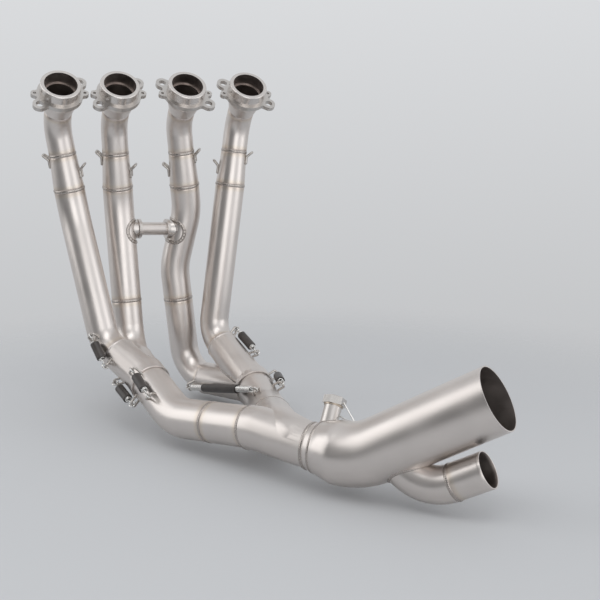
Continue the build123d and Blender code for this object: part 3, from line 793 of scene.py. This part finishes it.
smoothTurned("crossover_tube", crossEnds[2], unitWay(crossEnds[2], crossEnds[3]))
bossFoot = along(merges["final"], outletCorner, boss["offset"])
bossWay = point(boss["lean"]).normalized()
bossTop = bossFoot + bossWay * (coneRadius(boss["offset"]) + boss["height"])
for nodeName in ("sensor_boss", "plug_washer"):
    smoothTurned(nodeName, bossFoot, bossWay)
beads += meetBead((bossFoot, bossTop, boss["od"], boss["od"]), coneHull, **boss["weld"])
makePiece("weldBeads", beads, ("bead",))
print("weld beads:", len(beads))

# Wire hooks on the conical steps
hooks = dict(wire=2.8, width=9, lean=7, stand=9, bend=2.0, foot=9, reach=9, near=5, far=21, turn=22, sink=5,
             step=1.5, turnStep=15, segments=12)
wires = []
for number in (1, 2, 3, 4):
    start, down = coneStarts[number]
    leftDrop = hooks["near"] if number <= 2 else hooks["far"]
    for side, drop in ((-1, leftDrop), (1, hooks["near"] + hooks["far"] - leftDrop)):
        out = Matrix.Rotation(math.radians(-hooks["turn"]), 3, "Z") @ Vector((side, 0, 0))
        out = (out - down * out.dot(down)).normalized()
        across = down.cross(out) * hooks["width"] / 2
        radius = (upperOd + (lowerOd - upperOd) * drop / primaries["cone"]) / 2 + hooks["wire"] / 4
        bendPoint = start + down * drop + out * radius
        tip = bendPoint + (out - down) * hooks["reach"] / math.sqrt(2)
        foot = bendPoint + down * hooks["foot"]
        path = (foot - across, bendPoint - across, tip - across,
                tip + across, bendPoint + across, foot + across)
        wires.append(wirePart(bentRoute(path, [hooks["bend"]] * 4, hooks["step"], hooks["turnStep"]),
                              hooks["wire"], hooks["segments"]))
makePiece("coneHooks", wires, ("hook",), ("primary_hooks",))

# Pull springs, their sleeves and hooks
springs = dict(
    wire=1.8, coilOd=8.2, loopOd=8.6, neck=9, sleeveOd=11, share=0.5, clearance=0.2, slack=0.25, tuck=1.5,
    pitch=1.06, loopSteps=28, coilSteps=14, loopSegments=10, coilSegments=8,
    sleeveStep=2.0, sleeveSegments=40, sleeveRound=0.45,
    joints=(("one", "one"), ("left", "left"), ("left", "left"), ("four", "four"),
            ("three", "right"), ("right", "right")),
    starts=(-26, -36, -4, -8, -6, -12), stops=(14, 12, 44, 46, 51, 32),
    startAngles=(62, 122, 50, 304, 106, 292), stopAngles=(98, 122, 56, 312, 30, 312))
joints = {
    "one": (rims[1], ways[1], lowerOd, merges["socketOd"]),
    "three": (rims[3], ways[3], lowerOd, merges["socketOd"]),
    "four": (rims[4], ways[4], lowerOd, merges["socketOd"]),
    "left": (exits["left"], leftExitWay, merges["rimOd"], secondaryOd),
    "right": (exits["right"], rightExitWay, merges["rimOd"], secondaryOd),
}


def springEnd(joint, distance, angle):
    rim, way, beforeOd, afterOd = joints[joint]
    out = around(way, angle)
    return rim + way * distance + out * ((beforeOd if distance < 0 else afterOd) / 2 + hooks["stand"]), out


hookParts, coilParts, sleeveParts = [], [], []
loopOffset = springs["loopOd"] / 2 - springs["wire"] - hooks["wire"] / 2 - springs["slack"]
loopRadius = (springs["loopOd"] - springs["wire"]) / 2
coilRadius = (springs["coilOd"] - springs["wire"]) / 2
for names, start, stop, startAngle, stopAngle in zip(springs["joints"], springs["starts"], springs["stops"],
                                                     springs["startAngles"], springs["stopAngles"]):
    ends = (springEnd(names[0], start, startAngle), springEnd(names[1], stop, stopAngle))
    for (place, out), (other, _) in (ends, ends[::-1]):
        pull = unitWay(place, other)
        across = pull.cross(out).normalized()
        halfWidth = across * hooks["width"] / 2
        foot = place + pull * hooks["lean"] - out * (hooks["stand"] + hooks["sink"])
        path = (foot - halfWidth, place - halfWidth, place + halfWidth, foot + halfWidth)
        hookParts.append(wirePart(bentRoute(path, [hooks["bend"]] * 2, hooks["step"], hooks["turnStep"]),
                                  hooks["wire"], hooks["segments"]))
        centre = place + pull * loopOffset
        up = across.cross(pull)
        ringKnots = circle(centre, pull, up, loopRadius, springs["loopSteps"])
        coilParts.append(wirePart(ringKnots, springs["wire"], springs["loopSegments"], True))
        neckEnd = place + pull * springs["neck"]
        neckKnots = [centre + pull * loopRadius, neckEnd, neckEnd + pull * springs["tuck"] + up * coilRadius]
        coilParts.append(wirePart(neckKnots, springs["wire"], springs["loopSegments"]))
    first, last = ends[0][0], ends[1][0]
    pull = unitWay(first, last)
    side = pull.orthogonal().normalized()
    up = pull.cross(side)
    coilStart = first + pull * (springs["neck"] + springs["wire"] / 2)
    coilLength = (last - first).length - 2 * springs["neck"] - springs["wire"]
    turns = coilLength / (springs["wire"] * springs["pitch"])
    steps = springs["coilSteps"]
    helix = []
    for k in range(int(turns * steps) + 1):
        angle = 2 * math.pi * k / steps
        helix.append(coilStart + pull * (coilLength * k / (turns * steps))
                     + (side * math.cos(angle) + up * math.sin(angle)) * coilRadius)
    coilParts.append(wirePart(helix, springs["wire"], springs["coilSegments"]))
    bare = (last - first).length * (1 - springs["share"]) / 2
    sleeve = bentRoute((along(first, last, bare), along(last, first, bare)), (), springs["sleeveStep"])
    sleeveWall = (springs["sleeveOd"] - springs["coilOd"]) / 2 - springs["clearance"]
    sleeveParts.append(tubePart(sleeve, springs["sleeveOd"], springs["sleeveOd"], sleeveWall, (),
                                springs["sleeveSegments"], springs["sleeveRound"]))
makePiece("springHooks", hookParts, ("hook",), ("collector_hooks",))
makePiece("springCoils", coilParts, ("spring",), ("collector_springs",))
makePiece("springSleeves", sleeveParts, ("sleeve", "sleeve"), ("spring_sleeves",))
print("hooks and springs:", len(hookParts), len(coilParts))

# Camera at the photograph's angle
view = dict(aim=(294.7, 2.4, -273.6), azimuth=22.0, elevation=11.38, distance=1293.1, lens=59.46, sensor=36)
azimuth, elevation = math.radians(view["azimuth"]), math.radians(view["elevation"])
lookWay = Vector((math.sin(azimuth) * math.cos(elevation), math.cos(azimuth) * math.cos(elevation),
                  -math.sin(elevation)))
cameraData = bpy.data.cameras.new("studioCamera")
cameraData.lens = view["lens"]
cameraData.sensor_width = view["sensor"]
camera = bpy.data.objects.new("studioCamera", cameraData)
scene.collection.objects.link(camera)
camera.location = (Vector(view["aim"]) - lookWay * view["distance"]) * mm
camera.rotation_euler = lookWay.to_track_quat("-Z", "Y").to_euler()
scene.camera = camera

# Floor that fades into the backdrop, soft boxes and surroundings
flatLook = Vector((math.sin(azimuth), math.cos(azimuth), 0))
rightWay = Vector((math.cos(azimuth), -math.sin(azimuth), 0))
studio = dict(
    floorGrey=0.60, floorHalf=4.0, floorGap=0.0005, fade=(0.40, 0.85), middle=(0.16, -0.17),
    lampAim=(0.16, -0.15, -0.22), behind=(-0.4, 0.2),
    # height of the line of sight, grey
    backdrop=((-0.30, 0.53), (0.10, 0.71)),
    # how far a line of sight turns towards the dark side of the room, grey
    room=((-1.0, 0.86), (0.10, 0.86), (0.50, 0.55), (0.80, 0.24), (1.0, 0.20)), darkTurn=-54)
coolGrey = (0.985, 1.0, 1.022)


def greyRamp(tree, source, stops):  # grey that follows a value in its own units
    low, high = stops[0][0], stops[-1][0]
    spread = addNode(tree, "ShaderNodeMapRange")
    link(tree, source, spread.inputs["Value"])
    setRange(spread, (low, high))
    return ramp(tree, spread.outputs[0], [((place - low) / (high - low), [grey * c for c in coolGrey])
                                          for place, grey in stops])


def dotWith(tree, source, way):
    node = addNode(tree, "ShaderNodeVectorMath", operation="DOT_PRODUCT")
    link(tree, source, node.inputs[0])
    node.inputs[1].default_value = way
    return node.outputs["Value"]


floorMesh = bpy.data.meshes.new("studioFloor")
half = studio["floorHalf"]
floorCorners = [(-half, -half, 0), (half, -half, 0), (half, half, 0), (-half, half, 0)]
floorMesh.from_pydata(floorCorners, [], [(0, 1, 2, 3)])
floor = bpy.data.objects.new("studioFloor", floorMesh)
floor.location = (*studio["middle"], cadBox[0][2] - studio["floorGap"])
scene.collection.objects.link(floor)
floorPaint = bpy.data.materials.new("studioFloorPaint")
floorPaint.use_nodes = True
tree = floorPaint.node_tree
floorShader = tree.nodes["Principled BSDF"]
floorShader.inputs["Roughness"].default_value = 0.9
floorShader.inputs["Specular IOR Level"].default_value = 0.0
place = addNode(tree, "ShaderNodeNewGeometry")
floorShader.inputs["Base Color"].default_value = [studio["floorGrey"] * c for c in coolGrey] + [1]
reach = addNode(tree, "ShaderNodeVectorMath", operation="DISTANCE")
link(tree, place.outputs["Position"], reach.inputs[0])
reach.inputs[1].default_value = floor.location
fade = addNode(tree, "ShaderNodeMapRange", interpolation_type="SMOOTHSTEP")
link(tree, reach.outputs["Value"], fade.inputs["Value"])
setRange(fade, studio["fade"])
clear = addNode(tree, "ShaderNodeBsdfTransparent")
blend = addNode(tree, "ShaderNodeMixShader")
link(tree, fade.outputs[0], blend.inputs["Fac"])
link(tree, floorShader.outputs[0], blend.inputs[1])
link(tree, clear.outputs[0], blend.inputs[2])
link(tree, blend.outputs[0], tree.nodes["Material Output"].inputs["Surface"])
floorMesh.materials.append(floorPaint)

centre = Vector(studio["lampAim"])
softBoxes = {  # degrees right of the camera and above it
    "keyBox": dict(turn=10, lift=4, distance=1.6, size=(1.0, 1.3), watts=4.4),
    "leftBox": dict(turn=-85, lift=22, distance=1.6, size=(1.2, 1.5), watts=6.0),
    "topBox": dict(turn=-8, lift=64, distance=1.5, size=(1.3, 0.7), watts=3.8),
    "rightBox": dict(turn=78, lift=10, distance=1.6, size=(0.9, 1.3), watts=2.6),
}
for name, box in softBoxes.items():
    lamp = bpy.data.lights.new(name, "AREA")
    lamp.shape = "RECTANGLE"
    lamp.size, lamp.size_y = box["size"]
    lamp.energy = box["watts"]
    holder = bpy.data.objects.new(name, lamp)
    scene.collection.objects.link(holder)
    turn, lift = math.radians(box["turn"]), math.radians(box["lift"])
    level = rightWay * math.sin(turn) - flatLook * math.cos(turn)
    way = level * math.cos(lift) + Vector((0, 0, math.sin(lift)))
    holder.location = centre + way * box["distance"]
    holder.rotation_euler = (-way).to_track_quat("-Z", "Y").to_euler()

world = bpy.data.worlds.new("studioWorld")
scene.world = world
world.use_nodes = True
tree = world.node_tree
coords = addNode(tree, "ShaderNodeTexCoord")
sight = coords.outputs["Generated"]
height = dotWith(tree, sight, (0, 0, 1))
seen = greyRamp(tree, height, studio["backdrop"])
darkTurn = math.radians(studio["darkTurn"])
darkWay = rightWay * math.sin(darkTurn) - flatLook * math.cos(darkTurn)
room = greyRamp(tree, dotWith(tree, sight, darkWay), studio["room"])
behind = addNode(tree, "ShaderNodeMapRange", interpolation_type="SMOOTHSTEP")
link(tree, dotWith(tree, sight, -flatLook), behind.inputs["Value"])
setRange(behind, studio["behind"])
surround = addNode(tree, "ShaderNodeMix", data_type="RGBA")
link(tree, behind.outputs[0], surround.inputs["Factor"])
link(tree, seen, surround.inputs["A"])
link(tree, room, surround.inputs["B"])
link(tree, surround.outputs["Result"], tree.nodes["Background"].inputs["Color"])
print("studio set")
